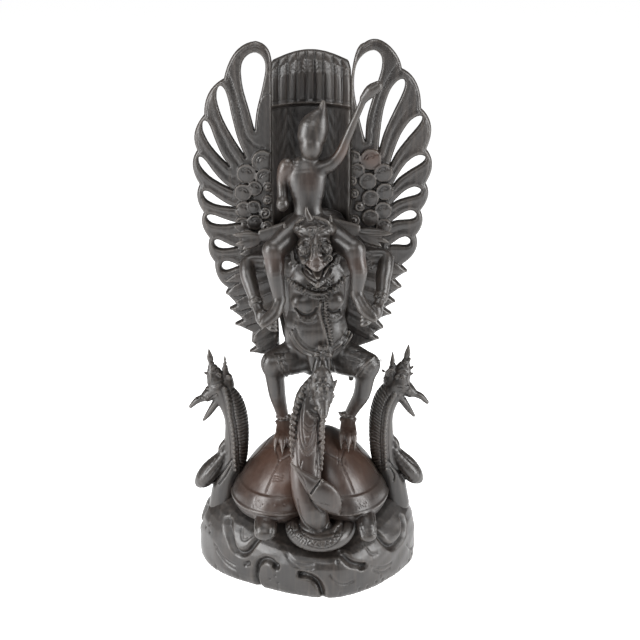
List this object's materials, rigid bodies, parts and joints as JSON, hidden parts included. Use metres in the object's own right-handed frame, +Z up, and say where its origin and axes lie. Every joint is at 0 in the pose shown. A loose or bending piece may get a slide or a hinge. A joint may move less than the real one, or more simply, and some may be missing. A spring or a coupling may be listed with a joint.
{
  "type": "vishnu on garuda carving",
  "caption": "Dark wood carving of Vishnu riding on Garuda, who stands on a turtle between rearing nagas, with openwork wings and a rock base; it stands free.",
  "frame": {"origin": "middle of the flat underside of the rock base", "axes": "+Z up, -Y towards the front of the figures"},
  "size_m": [0.2714, 0.2097, 0.5936],
  "materials": {
    "dark_wood": "waxed satin, nearly black with red-brown where it is rubbed"
  },
  "bodies": {
    "root": {"vishnu_on_garuda_carving": "dark_wood"}
  },
  "joints": []
}
